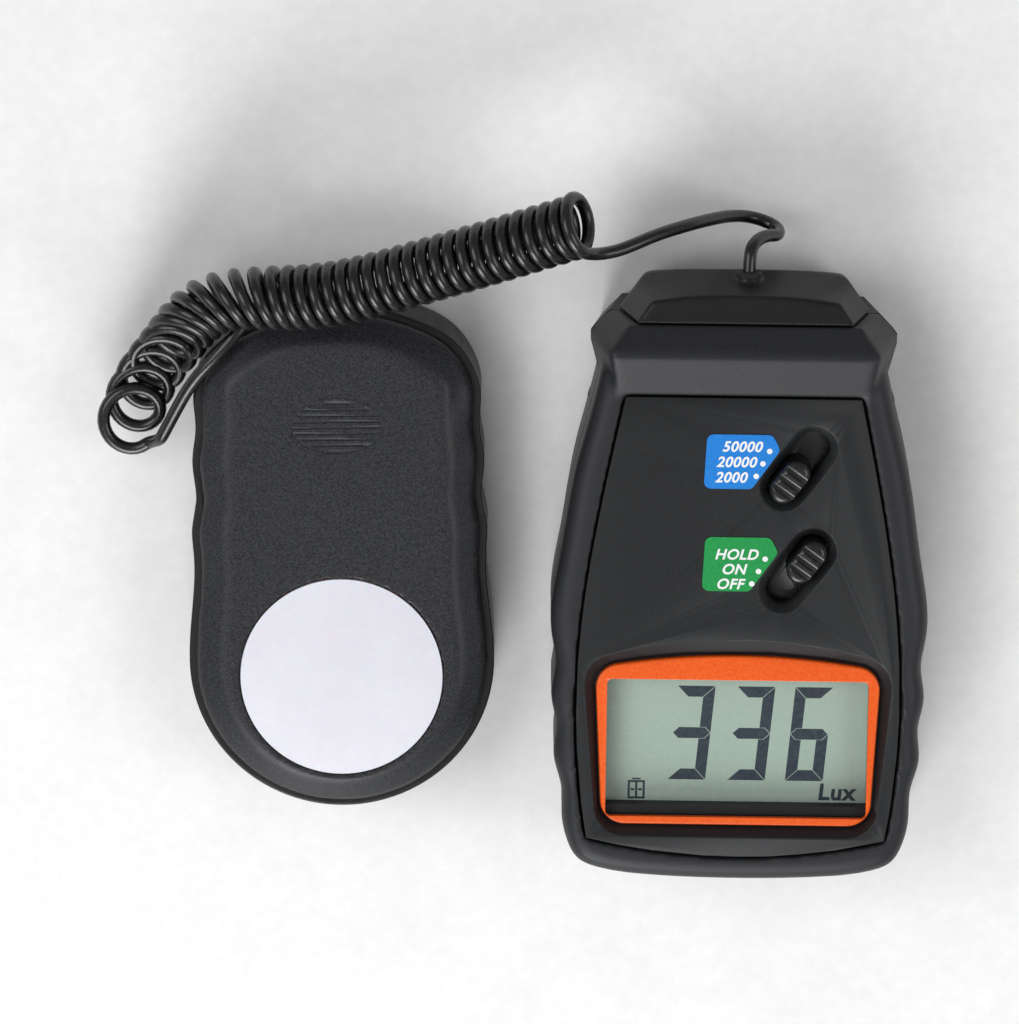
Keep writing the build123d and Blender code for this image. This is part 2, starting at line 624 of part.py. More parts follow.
def make_sensor_front():
    """Front shell: a low rim, a raised crown, the diffuser's opening and the thumb mark."""
    rim = sensor_outline(SHELL_INSET)
    shell = plate(rim, SHELL_PARTING, RIM_HEIGHT)
    crown = loft([Pos(0, 0, RIM_HEIGHT) * sensor_outline(SHELL_INSET + RIM_LEDGE),
                  Pos(0, 0, SENSOR_HEIGHT) * sensor_outline(6.2)], ruled=True)
    shell = shell + crown - thumb_mark()
    shell = shell - plate(sensor_outline(SHELL_INSET + SHELL_THICKNESS), SHELL_PARTING - 1, RIM_HEIGHT - 0.9)
    pocket = Rot(0, 0, 90) * SlotOverall(SENSOR_LENGTH - 20.0, SENSOR_WIDTH - 20.0)
    shell = shell - plate(pocket, SHELL_PARTING, SENSOR_HEIGHT - SHELL_THICKNESS)
    for x, y in SENSOR_POSTS:
        shell = shell + rod(POST_DIAMETER, SHELL_PARTING, SENSOR_HEIGHT - SHELL_THICKNESS + 0.3, x, y)
    hole = rod(DIFFUSER_DIAMETER + 2 * 0.15, SHELL_PARTING, SENSOR_HEIGHT + 1, 0, DIFFUSER_PLACE)
    seat = rod(DIFFUSER_DIAMETER + 3.0, SHELL_PARTING - 1, SENSOR_HEIGHT - SHELL_THICKNESS, 0, DIFFUSER_PLACE)
    shell = shell - hole - seat
    for x, y in SENSOR_POSTS:
        shell = shell - rod(SCREW_SHANK, SHELL_PARTING - 1, SENSOR_HEIGHT - 2.2, x, y)
    return shell


def make_sensor_rear():
    """Deep rear shell with a rounded back, screw posts, board posts and the cord's hole."""
    shell = plate(sensor_outline(), 0, SHELL_PARTING)
    shell = fillet(shell.edges().filter_by(lambda e: e.center().Z < 0.01), 4.0)
    top = shell.edges().filter_by(lambda e: e.center().Z > SHELL_PARTING - 0.01)
    shell = fillet(top, 0.5)
    shell = shell - plate(sensor_outline(SENSOR_WALL + 0.8), SENSOR_WALL, SHELL_PARTING + 1)
    for x, y in SENSOR_POSTS:
        shell = shell + rod(POST_DIAMETER, SENSOR_WALL - 1, SHELL_PARTING, x, y)
        shell = shell + rod(POST_FOOT, SENSOR_WALL - 1, 5.2, x, y)
        shell = shell - rod(SCREW_HEAD + 0.6, -1, 3.2, x, y) - rod(SCREW_SHANK + 0.4, 0, SHELL_PARTING + 1, x, y)
    for side in (-1, 1):
        shell = shell + rod(4.4, SENSOR_WALL - 1, 10.0, side * 14.0, DIFFUSER_PLACE)
        shell = shell - rod(1.6, 5.0, 11.0, side * 14.0, DIFFUSER_PLACE)
    bore = Pos(SENSOR_GLAND_PLACE, SENSOR_LENGTH / 2, SENSOR_GLAND_HEIGHT) * Rot(90, 0, 0)
    return shell - bore * Cylinder(GLAND_NECK / 2 + 0.1, 14)


def make_diffuser():
    """White domed diffuser with a flange under the shell."""
    flange_top = SENSOR_HEIGHT - SHELL_THICKNESS - 0.1
    disc = rod(DIFFUSER_DIAMETER, flange_top - 1.2, SENSOR_HEIGHT + 0.1, 0, DIFFUSER_PLACE)
    half = DIFFUSER_DIAMETER / 2 - 0.3
    radius = (half ** 2 + DIFFUSER_DOME ** 2) / (2 * DIFFUSER_DOME)
    ball = Pos(0, DIFFUSER_PLACE, SENSOR_HEIGHT + 0.1 + DIFFUSER_DOME - radius) * Sphere(radius)
    cap = ball & rod(DIFFUSER_DIAMETER - 0.6, SENSOR_HEIGHT, SENSOR_HEIGHT + 2, 0, DIFFUSER_PLACE)
    flange = rod(DIFFUSER_DIAMETER + 2.4, flange_top - 1.2, flange_top - 0.1, 0, DIFFUSER_PLACE)
    return disc + cap + flange


def make_retainer():
    """Ring that holds the diffuser up against the shell."""
    top = SENSOR_HEIGHT - SHELL_THICKNESS - 1.3
    return (rod(DIFFUSER_DIAMETER + 2.4, top - 1.4, top, 0, DIFFUSER_PLACE)
            - rod(DIFFUSER_DIAMETER - 3.0, top - 2, top + 1, 0, DIFFUSER_PLACE))


def make_sensor_board():
    """Round board under the photodiode."""
    return rod(35.0, 10.0, 11.6, 0, DIFFUSER_PLACE) - rod(2.4, 9, 12, 14.0, DIFFUSER_PLACE) \
        - rod(2.4, 9, 12, -14.0, DIFFUSER_PLACE)


def make_sensor_board_screws():
    """Two screws that hold the round board down on its posts."""
    group = []
    for side in (-1, 1):
        x = side * 14.0
        group.append(rod(3.6, 11.6, 12.8, x, DIFFUSER_PLACE) + rod(1.5, 6.0, 11.7, x, DIFFUSER_PLACE)
                     - block(2.4, 0.6, 12.3, 13, x, DIFFUSER_PLACE))
    return Compound(children=group)


# ---- curly lead ----
def make_gland(depth):
    """Rubber grommet round the lead, its neck through a wall, about the origin along +Y."""
    outer = Pos(0, 0.45, 0) * Rot(90, 0, 0) * Cylinder(GLAND_FLANGE / 2, 0.9)
    outer = fillet(outer.edges().filter_by(lambda e: e.center().Y > 0.5), 0.4)
    neck = Pos(0, -depth / 2, 0) * Rot(90, 0, 0) * Cylinder(GLAND_NECK / 2, depth + 0.2)
    inner = Pos(0, -depth - 0.5, 0) * Rot(90, 0, 0) * Cylinder(GLAND_NECK / 2 + 0.6, 1.0)
    bore = Rot(90, 0, 0) * Cylinder(LEAD_DIAMETER / 2, 30)
    return outer + neck + inner - bore


def corner_radii(points, share=0.45):
    """One radius for each corner, as large as its two runs allow."""
    radii = []
    for before, corner, after in zip(points, points[1:], points[2:]):
        first = Vector(*corner) - Vector(*before)
        second = Vector(*after) - Vector(*corner)
        half_turn = math.radians(first.get_angle(second)) / 2
        radii.append(share * min(first.length, second.length) / math.tan(half_turn))
    return radii


def tube(name, points, diameter):
    """Round tube along straight runs joined by tangent arcs."""
    radii = corner_radii(points)
    path = FilletPolyline(*points, radius=radii)
    solid = sweep(Plane(origin=path @ 0, z_dir=path % 0) * Circle(diameter / 2), path=path)
    expected = math.pi * diameter ** 2 / 4 * path.length
    print(name, "length", round(path.length, 1), "smallest radius", round(min(radii), 2),
          "radii", [round(r, 1) for r in radii], "volume ratio", round(solid.volume / expected, 4))
    return solid


def sensor_gland_point(along):
    """Place on the sensor gland's axis, so far beyond the end of the head."""
    spot = sensor_place() * Pos(SENSOR_GLAND_PLACE, SENSOR_LENGTH / 2 + along, SENSOR_GLAND_HEIGHT)
    return tuple(spot.position)


METER_LEAD = [
    (GLAND_SIDE, GLAND_SEAT - 4.0, GLAND_HEIGHT), (GLAND_SIDE, GLAND_SEAT + 2.6, GLAND_HEIGHT),
    (1.4, 63.6, 17.0), (4.0, 64.8, 13.8), (6.2, 64.4, 10.6), (5.0, 65.9, 6.0), (0.6, 67.0, 6.8), (-3.0, 67.2, 10.2),
    (-6.8, 67.4, 14.4), (-11.6, 67.0, 18.8), (-17.0, 65.6, 23.0), (-22.6, 63.8, 26.2), (-28.4, 62.4, 28.0),
]
COIL_AXIS = [
    (-31.4, 69.2, 28.4), (-45.0, 64.3, 28.1), (-58.4, 60.0, 27.9), (-70.0, 56.4, 27.8), (-80.0, 54.4, 27.8),
    (-89.0, 54.2, 27.8), (-95.6, 53.4, 26.4), (-100.4, 50.6, 22.0), (-104.0, 45.6, 16.4), (-107.0, 40.4, 11.2),
    (-110.6, 35.2, 8.2), (-113.4, 29.6, 7.6), (-114.9, 24.6, 9.4),
]
SENSOR_LEAD = [
    (-109.6, 20.6, 10.6), (-106.2, 28.2, 14.8), (-102.4, 36.0, 18.8), (-97.6, 41.6, 20.5), (-93.4, 46.6, 20.4),
    (-88.2, 53.0, 16.6), sensor_gland_point(4.6), sensor_gland_point(-5.0),
]


# ---- all sub-parts ----
def build_meter():
    """Write every sub-part of the meter."""
    export("front_housing", make_front_housing())
    export("rear_housing", make_rear_housing())
    export("top_cap", make_top_cap())
    export("face_panel", make_face_panel())
    export("display_bezel", make_bezel())
    export("display_holder", make_display_holder())
    export("display_glass", make_display())
    export("display_contact_strips", make_contact_strips())
    export("main_board", make_main_board())
    export("board_components", make_board_parts())
    export("board_posts", make_board_posts())
    export("battery_cover", make_battery_cover())
    export("battery", make_battery())
    export("battery_contacts", make_contact_plates())
    export("battery_spring", make_battery_spring())
    export("housing_screws", screws(mirrored_posts(METER_POSTS), 1.5, 15.0))
    travel = (SLOT_REACH + SLOT_WIDTH - KNOB_LENGTH) / 2
    for name, middle, side in (("range", RANGE_MIDDLE, -1), ("power", POWER_MIDDLE, 1)):
        export(f"{name}_switch", make_switch_body(middle))
        export(f"{name}_slider", make_slider(middle, side * SWITCH_STEP))
        export(f"{name}_knob", make_knob(middle, side * SWITCH_STEP))
        label = plate(label_outline(middle[1] - LABEL_DROP), FACE_HEIGHT, FACE_HEIGHT + LABEL_THICKNESS)
        export(f"{name}_label", label)
    print("knob room beyond its travel", round(travel - SWITCH_STEP, 2))
    export("meter_gland", Pos(GLAND_SIDE, GLAND_SEAT, GLAND_HEIGHT) * make_gland(CAP_END_WALL + 0.1))


def build_sensor():
    """Write every sub-part of the sensor head, each moved to where the head lies."""
    place = sensor_place()
    export("sensor_front_shell", place * make_sensor_front())
    export("sensor_rear_shell", place * make_sensor_rear())
    export("diffuser", place * make_diffuser())
    export("diffuser_retainer", place * make_retainer())
    export("color_filter", place * rod(17.0, 14.6, 16.2, 0, DIFFUSER_PLACE))
    export("photodiode", place * rod(18.0, 11.6, 14.6, 0, DIFFUSER_PLACE))
    export("sensor_board", place * make_sensor_board())
    export("sensor_board_screws", place * make_sensor_board_screws())
    export("sensor_screws", place * screws(SENSOR_POSTS, 1.5, 16.0))
    face = Pos(SENSOR_GLAND_PLACE, SENSOR_LENGTH / 2 - 0.05, SENSOR_GLAND_HEIGHT)
    export("sensor_gland", place * face * make_gland(3.0))


def build_cords():
    """Write the lead's straight ends and the outer shape of its coil."""
    export("meter_lead", tube("meter_lead", METER_LEAD, LEAD_DIAMETER))
    export("coil", tube("coil", COIL_AXIS, COIL_DIAMETER))
    export("sensor_lead", tube("sensor_lead", SENSOR_LEAD, LEAD_DIAMETER))


os.makedirs("parts", exist_ok=True)
build_meter()
build_sensor()
build_cords()
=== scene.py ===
"""Looks of a handheld light meter: a meter with a display, and a sensor head on a curly lead.

Metres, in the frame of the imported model: +Z out of the meter's face, +Y towards its cord end.
"""
import logging
import math
from dataclasses import dataclass
from enum import Enum
from typing import Any, Callable, ClassVar, Dict, List, Optional, Sequence, Tuple

import bpy
from mathutils import Matrix, Vector


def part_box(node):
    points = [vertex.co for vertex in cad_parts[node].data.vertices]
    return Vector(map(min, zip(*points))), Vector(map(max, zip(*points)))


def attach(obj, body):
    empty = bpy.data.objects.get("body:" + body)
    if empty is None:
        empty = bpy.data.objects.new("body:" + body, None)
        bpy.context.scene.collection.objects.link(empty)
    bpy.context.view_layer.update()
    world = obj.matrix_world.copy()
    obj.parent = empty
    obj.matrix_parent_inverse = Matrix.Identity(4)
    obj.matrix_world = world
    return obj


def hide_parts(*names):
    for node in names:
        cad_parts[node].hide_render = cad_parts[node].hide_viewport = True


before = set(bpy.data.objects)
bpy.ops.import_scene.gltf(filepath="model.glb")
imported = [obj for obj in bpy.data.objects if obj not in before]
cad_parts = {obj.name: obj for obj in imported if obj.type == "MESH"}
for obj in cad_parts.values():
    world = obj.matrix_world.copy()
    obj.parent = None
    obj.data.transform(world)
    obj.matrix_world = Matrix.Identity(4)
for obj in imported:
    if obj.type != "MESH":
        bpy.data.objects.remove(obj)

Point = Tuple[float, float, float]
Flat = Tuple[float, float]
MM = 0.001

log = logging.getLogger("light_meter")


# ---- colours and nodes ----
def linear(hex_colour: str) -> Tuple[float, float, float, float]:
    """Linear colour of an sRGB hex value.

    Args:
        hex_colour: six hex digits after a hash.

    Returns:
        Red, green, blue and alpha.
    """
    parts = [int(hex_colour[i:i + 2], 16) / 255 for i in (1, 3, 5)]
    red, green, blue = [c / 12.92 if c <= 0.04045 else ((c + 0.055) / 1.055) ** 2.4 for c in parts]
    return red, green, blue, 1.0


def add_node(tree: bpy.types.NodeTree, kind: str, settings: Optional[Dict[str, Any]] = None,
             links: Optional[Dict[Any, Any]] = None) -> bpy.types.Node:
    """Adds a node with its settings and its links.

    Args:
        tree: the node tree it goes into.
        kind: the node's type name.
        settings: attributes, or socket names with the values they get.
        links: input socket names or numbers with the output sockets that feed them.

    Returns:
        The new node.
    """
    made = tree.nodes.new(kind)
    for key, value in (settings or {}).items():
        if key in made.inputs.keys():
            made.inputs[key].default_value = value
        else:
            setattr(made, key, value)
    for key, source in (links or {}).items():
        tree.links.new(source, made.inputs[key])
    return made


class Pattern(Enum):
    """How a surface was made."""

    SPARK = "fine spark-eroded texture of a mould"
    SMOOTH = "polished mould with faint waviness"
    BRUSHED = "drawn or turned metal"
    TRACES = "copper tracks under solder mask"
    PRINT = "printed film"


@dataclass(frozen=True)
class Finish:
    """A surface finish and what it is made of."""

    name: str
    colour: str
    second: str
    roughness: float = 0.5
    metallic: float = 0.0
    grain: float = 0.4
    relief: float = 0.03
    pattern: Pattern = Pattern.SPARK
    coat: float = 0.0
    scatter: float = 0.0
    ior: float = 1.5
    alpha: float = 1.0

    def build(self) -> bpy.types.Material:
        """Makes the procedural material.

        Returns:
            The new material.
        """
        material = bpy.data.materials.new(self.name)
        material.use_nodes = True
        tree = material.node_tree
        tree.nodes.clear()
        place = add_node(tree, "ShaderNodeTexCoord").outputs["Object"]
        if self.pattern is Pattern.BRUSHED:
            stretch = add_node(tree, "ShaderNodeMapping", {"Scale": (1.0, 0.06, 1.0)}, {"Vector": place})
            place = stretch.outputs["Vector"]
        size = 1.0 / (self.grain * MM)
        fine = add_node(tree, "ShaderNodeTexNoise", {"Scale": size, "Detail": 3.0, "Roughness": 0.6},
                        {"Vector": place})
        broad = add_node(tree, "ShaderNodeTexNoise", {"Scale": 1.0 / (14.0 * MM), "Detail": 2.0},
                         {"Vector": place})
        height = fine.outputs["Fac"]
        if self.pattern is Pattern.TRACES:
            tracks = add_node(tree, "ShaderNodeTexBrick", {"Scale": 1.0 / (self.grain * 6 * MM),
                                                           "Mortar Size": 0.06}, {"Vector": place})
            height = tracks.outputs["Fac"]
        tint = add_node(tree, "ShaderNodeValToRGB", {}, {0: height})
        tint.color_ramp.elements[0].position = 0.35
        tint.color_ramp.elements[0].color = linear(self.colour)
        tint.color_ramp.elements[1].position = 0.75
        tint.color_ramp.elements[1].color = linear(self.second)
        blend = add_node(tree, "ShaderNodeMixRGB", {"blend_type": "MULTIPLY", "Fac": 0.10},
                         {1: tint.outputs["Color"], 2: broad.outputs["Fac"]})
        dull = add_node(tree, "ShaderNodeMapRange", {"From Min": 0.3, "From Max": 0.7,
                                                     "To Min": max(self.roughness - 0.06, 0.02),
                                                     "To Max": min(self.roughness + 0.06, 1.0)},
                        {0: fine.outputs["Fac"]})
        bump = add_node(tree, "ShaderNodeBump", {"Strength": 0.6, "Distance": self.relief * MM},
                        {"Height": height})
        shader = add_node(tree, "ShaderNodeBsdfPrincipled",
                          {"Metallic": self.metallic, "IOR": self.ior, "Coat Weight": self.coat,
                           "Coat Roughness": 0.12, "Subsurface Weight": self.scatter,
                           "Subsurface Scale": 2.0 * MM, "Alpha": self.alpha},
                          {"Base Color": blend.outputs[0], "Roughness": dull.outputs["Result"],
                           "Normal": bump.outputs["Normal"]})
        add_node(tree, "ShaderNodeOutputMaterial", {}, {"Surface": shader.outputs["BSDF"]})
        return material


# Injection-moulded ABS with a spark-eroded grain: a dark grey that scatters soft, pale glints.
CASE_ABS = Finish("moulded_abs_case", "#1C1D20", "#292A2E", 0.5, ior=1.42, grain=0.28, relief=0.03)
# The same plastic on the sensor head, with a coarser grain; its pale second colour is painted glints, bright specks
# of highlight mixed into the grain's colour.
HEAD_ABS = Finish("moulded_abs_head", "#141517", "#38393E", 0.42, ior=1.42, grain=0.36, relief=0.08)
# Black ABS of the end cap and of the head's rear shell: darker, with a softer sheen.
CAP_ABS = Finish("moulded_abs_black", "#0C0D0E", "#131415", 0.45, ior=1.4, grain=0.3, relief=0.02)
# The inlaid panel has the finest grain, an even charcoal.
PANEL_ABS = Finish("moulded_abs_panel", "#1A1B1D", "#202224", 0.5, ior=1.42, grain=0.3, relief=0.02)
# Orange ABS bezel: saturated and even, with a satin surface.
BEZEL_ABS = Finish("moulded_abs_orange", "#F05400", "#F86A08", 0.38, grain=0.5, relief=0.015, coat=0.15)
# Acetal knobs: nearly black and semi-glossy where fingers rub them.
KNOB_ACETAL = Finish("moulded_acetal_knob", "#0F1011", "#17181A", 0.34, grain=0.6, relief=0.006, coat=0.15)
# Dull black ABS inside the case.
INNER_ABS = Finish("moulded_abs_inner", "#1B1C1E", "#26272A", 0.6, grain=0.6)
# Twisted nematic display behind glass: a grey-green polariser with a flat sheen.
DISPLAY_GLASS = Finish("liquid_crystal_glass", "#A3B6AA", "#A6B9AD", 0.24, grain=1.2, relief=0.002,
                       pattern=Pattern.SMOOTH, coat=0.3)
# Dark segments of the display.
SEGMENT_INK = Finish("display_segment", "#2B3640", "#38444E", 0.35, grain=0.8, relief=0.004,
                     pattern=Pattern.SMOOTH)
# Opal acrylic dome: white, faintly lilac, lets light sink in a little.
OPAL_ACRYLIC = Finish("opal_acrylic", "#E6E5EE", "#E9E8F0", 0.36, grain=1.6, relief=0.008,
                      pattern=Pattern.SMOOTH, scatter=0.25)
# Silk-screened ink on film for the two labels.
BLUE_INK = Finish("printed_blue", "#0A7EDB", "#1189E2", 0.42, grain=0.5, relief=0.01, pattern=Pattern.PRINT)
GREEN_INK = Finish("printed_green", "#0B9444", "#12A04E", 0.42, grain=0.5, relief=0.01, pattern=Pattern.PRINT)
WHITE_INK = Finish("printed_white", "#F2F4F5", "#FFFFFF", 0.45, grain=0.4, relief=0.006,
                   pattern=Pattern.PRINT)
# Soft vinyl jacket of the lead: black with a clear wet-looking highlight along each turn.
JACKET_VINYL = Finish("vinyl_jacket", "#0E0E0F", "#161617", 0.3, grain=0.7, relief=0.006,
                      pattern=Pattern.SMOOTH, coat=0.2)
# Moulded rubber: dull black, with hardly any sheen.
GROMMET_RUBBER = Finish("moulded_rubber", "#151516", "#222224", 0.65, grain=0.4, relief=0.03)
# Green solder mask over copper tracks, glossy, with a faint relief.
BOARD_MASK = Finish("solder_mask", "#0E5A2E", "#1D7A43", 0.35, grain=0.5, relief=0.03, pattern=Pattern.TRACES)
# Matt dark epoxy of chips and switch bodies.
CHIP_EPOXY = Finish("moulded_epoxy", "#1B1B1C", "#2A2A2B", 0.6, grain=0.3)
# Undyed nylon: creamy, and slightly see-through at its edges.
NYLON = Finish("natural_nylon", "#D8D4C6", "#E2DFD3", 0.5, grain=0.6, pattern=Pattern.SMOOTH, scatter=0.1)
# Bright zinc on screws, with drawn streaks that stretch a highlight.
ZINC_STEEL = Finish("zinc_plated_steel", "#B4B6BA", "#C9CBCE", 0.32, 1.0, 0.3, 0.01, Pattern.BRUSHED)
# Nickel on springs and contacts: warmer and sharper than the zinc.
NICKEL_STEEL = Finish("nickel_plated_steel", "#C2BFB8", "#D6D3CC", 0.25, 1.0, 0.3, 0.01, Pattern.BRUSHED)
# Shrunk film round the cell: blue-grey with a tight highlight.
BATTERY_SLEEVE = Finish("shrink_sleeve", "#3A3F4A", "#4A505C", 0.3, grain=0.8,
                        pattern=Pattern.SMOOTH, coat=0.2)
# Pale green filter glass, clear enough to show the cell behind it.
FILTER_GLASS = Finish("green_filter_glass", "#7FC79A", "#8CD0A5", 0.1, grain=2.0, relief=0.002,
                      pattern=Pattern.SMOOTH, alpha=0.6)
# Dark blue silicon with a mirror-like coat.
SILICON_CELL = Finish("silicon_cell", "#22243A", "#30334C", 0.25, grain=0.5, pattern=Pattern.SMOOTH, coat=0.4)
# Pale matt paint that takes soft shadows.
FLOOR_PAINT = Finish("studio_floor", "#F4F4F4", "#FAFAFA", 0.75, grain=3.0, relief=0.002,
                     pattern=Pattern.SMOOTH)

PLAIN_NODES: Dict[str, Finish] = {
    "rear_housing": CASE_ABS, "battery_cover": CASE_ABS, "display_holder": INNER_ABS,
    "display_glass": DISPLAY_GLASS, "display_contact_strips": GROMMET_RUBBER, "main_board": BOARD_MASK,
    "board_components": CHIP_EPOXY, "board_posts": NYLON, "battery": BATTERY_SLEEVE,
    "battery_contacts": NICKEL_STEEL, "battery_spring": NICKEL_STEEL, "housing_screws": ZINC_STEEL,
    "range_switch": CHIP_EPOXY, "range_slider": NYLON, "power_switch": CHIP_EPOXY, "power_slider": NYLON,
    "range_label": BLUE_INK, "power_label": GREEN_INK, "meter_gland": GROMMET_RUBBER,
    "diffuser_retainer": INNER_ABS, "color_filter": FILTER_GLASS, "photodiode": SILICON_CELL,
    "sensor_board": BOARD_MASK, "sensor_board_screws": ZINC_STEEL, "sensor_screws": ZINC_STEEL,
    "sensor_gland": GROMMET_RUBBER, "diffuser": OPAL_ACRYLIC,
}


class Workshop:
    """Builds each material once and holds the modelling steps that pieces share."""

    def __init__(self) -> None:
        """Starts with no materials made."""
        self.made: Dict[str, bpy.types.Material] = {}

    def paint(self, piece: bpy.types.Object, finish: Finish) -> None:
        """Gives a piece one finish all over.

        Args:
            piece: the mesh or curve.
            finish: what it is made of.
        """
        if finish.name not in self.made:
            self.made[finish.name] = finish.build()
        if not piece.material_slots:
            piece.data.materials.append(self.made[finish.name])
        for entry in piece.material_slots:
            entry.material = self.made[finish.name]

    def select_only(self, piece: bpy.types.Object) -> None:
        """Deselects everything but one piece and makes it active."""
        bpy.ops.object.select_all(action="DESELECT")
        piece.select_set(True)
        bpy.context.view_layer.objects.active = piece

    def bevelled(self, node: str, finish: Finish, slot: str, body: str, width: Callable[[Vector], float],
                 segments: int = 3, angle: float = 32.0, flatness: float = 0.6) -> bpy.types.Object:
        """A copy of a CAD node with its sharp edges rounded.

        Args:
            node: the CAD node it stands for.
            finish: what it is made of.
            slot: a material slot's name, not used.
            body: the body it rides on.
            width: the rounding's width in millimetres at a place given in millimetres.
            segments: facets across the rounding.
            angle: the least angle in degrees of an edge that is rounded.
            flatness: the most degrees between neighbours that are joined into one face.

        Returns:
            The finished piece.
        """
        piece = self.copied(node)
        bpy.ops.object.mode_set(mode="EDIT")
        bpy.ops.mesh.select_all(action="SELECT")
        bpy.ops.mesh.remove_doubles(threshold=0.002 * MM)
        bpy.ops.mesh.dissolve_limited(angle_limit=math.radians(flatness))
        bpy.ops.object.mode_set(mode="OBJECT")
        widths = self.edge_widths(piece.data, width, math.radians(angle))
        widest = max(widths)
        weights = piece.data.attributes.new("bevel_weight_edge", "FLOAT", "EDGE")
        weights.data.foreach_set("value", [w / widest for w in widths])
        rounding = piece.modifiers.new("edge_rounding", "BEVEL")
        rounding.width = widest * MM
        rounding.segments = segments
        rounding.limit_method = "WEIGHT"
        rounding.use_clamp_overlap = True
        rounding.harden_normals = True
        bpy.ops.object.modifier_apply(modifier=rounding.name)
        bpy.ops.object.shade_smooth_by_angle(angle=math.radians(angle))
        return self.finish_skin(piece, node, finish, slot, body)

    def copied(self, node: str) -> bpy.types.Object:
        """A selected copy of a CAD piece.

        Args:
            node: the CAD node.

        Returns:
            The copy, not yet finished.
        """
        piece = bpy.data.objects.new(f"{node}_skin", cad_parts[node].data.copy())
        bpy.context.scene.collection.objects.link(piece)
        self.select_only(piece)
        return piece

    def finish_skin(self, piece: bpy.types.Object, node: str, finish: Finish, slot: str,
                    body: str) -> bpy.types.Object:
        """Paints a copied piece and puts it in its node's place.

        Args:
            piece: the copy, with its final shape.
            node: the CAD node it stands for.
            finish: what it is made of.
            slot: a material slot's name, not used.
            body: the body it rides on.

        Returns:
            The same piece.
        """
        self.paint(piece, finish)
        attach(piece, body)
        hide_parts(node)
        log.info("%s: %d faces", piece.name, len(piece.data.polygons))
        return piece

    def softened(self, node: str, cell: float, passes: int,
                 softness: Callable[[Vector], float]) -> bpy.types.Object:
        """A copy with an even skin whose edges are melted round.

        Args:
            node: the CAD node it stands for.
            cell: the skin's cell size in millimetres.
            passes: how often it is smoothed.
            softness: the smoothing's share, from 0 to 1, at a place given in millimetres.

        Returns:
            The copy, not yet painted.
        """
        piece = self.copied(node)
        skin = piece.modifiers.new("even_skin", "REMESH")
        skin.mode = "VOXEL"
        skin.voxel_size = cell * MM
        bpy.ops.object.modifier_apply(modifier=skin.name)
        soft = piece.vertex_groups.new(name="soft")
        for vertex in piece.data.vertices:
            soft.add([vertex.index], softness(vertex.co / MM), "REPLACE")
        melting = piece.modifiers.new("soft_edges", "SMOOTH")
        melting.factor = 0.5
        melting.iterations = passes
        melting.vertex_group = soft.name
        bpy.ops.object.modifier_apply(modifier=melting.name)
        piece.vertex_groups.clear()
        bpy.ops.object.shade_smooth_by_angle(angle=math.radians(50.0))
        return piece

    @staticmethod
    def edge_widths(mesh: bpy.types.Mesh, width: Callable[[Vector], float], angle: float) -> List[float]:
        """The rounding of each edge, nothing where the surface hardly turns.

        Args:
            mesh: a merged mesh.
            width: the rounding's width in millimetres at a place given in millimetres.
            angle: the least angle that is rounded.

        Returns:
            One width for each edge, in millimetres.
        """
        sides: Dict[Tuple[int, int], List[Vector]] = {}
        for face in mesh.polygons:
            for key in face.edge_keys:
                sides.setdefault(key, []).append(face.normal)
        widths = []
        for edge in mesh.edges:
            normals = sides.get(tuple(sorted(edge.vertices)), [])
            middle = (mesh.vertices[edge.vertices[0]].co + mesh.vertices[edge.vertices[1]].co) / (2 * MM)
            sharp = len(normals) == 2 and normals[0].angle(normals[1], 0.0) > angle
            widths.append(width(middle) if sharp else 0.0)
        return widths

    def flat_shapes(self, name: str, outlines: Sequence[Sequence[Flat]], low: float, high: float,
                    finish: Finish, slot: str, body: str) -> bpy.types.Object:
        """Thin raised shapes with straight-sided outlines, as one mesh.

        Args:
            name: the piece's name.
            outlines: closed outlines in plan, in millimetres.
            low: the underside's height in millimetres.
            high: the top's height in millimetres.
            finish: what it is made of.
            slot: a material slot's name, not used.
            body: the body it rides on.

        Returns:
            The finished piece.
        """
        bpy.ops.object.select_all(action="DESELECT")
        line = bpy.data.curves.new(name, "CURVE")
        line.dimensions = "2D"
        line.fill_mode = "BOTH"
        line.extrude = (high - low) / 2 * MM
        for outline in outlines:
            spline = line.splines.new("POLY")
            spline.points.add(len(outline) - 1)
            for point, (x, y) in zip(spline.points, outline):
                point.co = (x * MM, y * MM, 0.0, 1.0)
            spline.use_cyclic_u = True
        piece = bpy.data.objects.new(name, line)
        bpy.context.scene.collection.objects.link(piece)
        piece.location = (0.0, 0.0, (low + high) / 2 * MM)
        return self.finish_flat(piece, finish, body)

    def lettering(self, name: str, words: str, size: float, place: Point, finish: Finish, slot: str,
                  body: str, slant: float = 0.25, weight: float = 0.0) -> bpy.types.Object:
        """Raised printing, made a mesh.

        Args:
            name: the piece's name.
            words: what it says.
            size: the letters' size in millimetres.
            place: the right end of its base line, in millimetres.
            finish: what it is made of.
            slot: a material slot's name, not used.
            body: the body it rides on.
            slant: how far the letters lean.
            weight: how much the strokes are thickened, in millimetres.

        Returns:
            The finished piece.
        """
        bpy.ops.object.select_all(action="DESELECT")
        bpy.ops.object.text_add(location=[c * MM for c in place])
        piece = bpy.context.object
        piece.name = name
        piece.data.body = words
        piece.data.size = size * MM
        piece.data.shear = slant
        piece.data.offset = weight * MM
        piece.data.extrude = 0.02 * MM
        piece.data.align_x = "RIGHT"
        piece.data.space_character = 1.08
        return self.finish_flat(piece, finish, body)

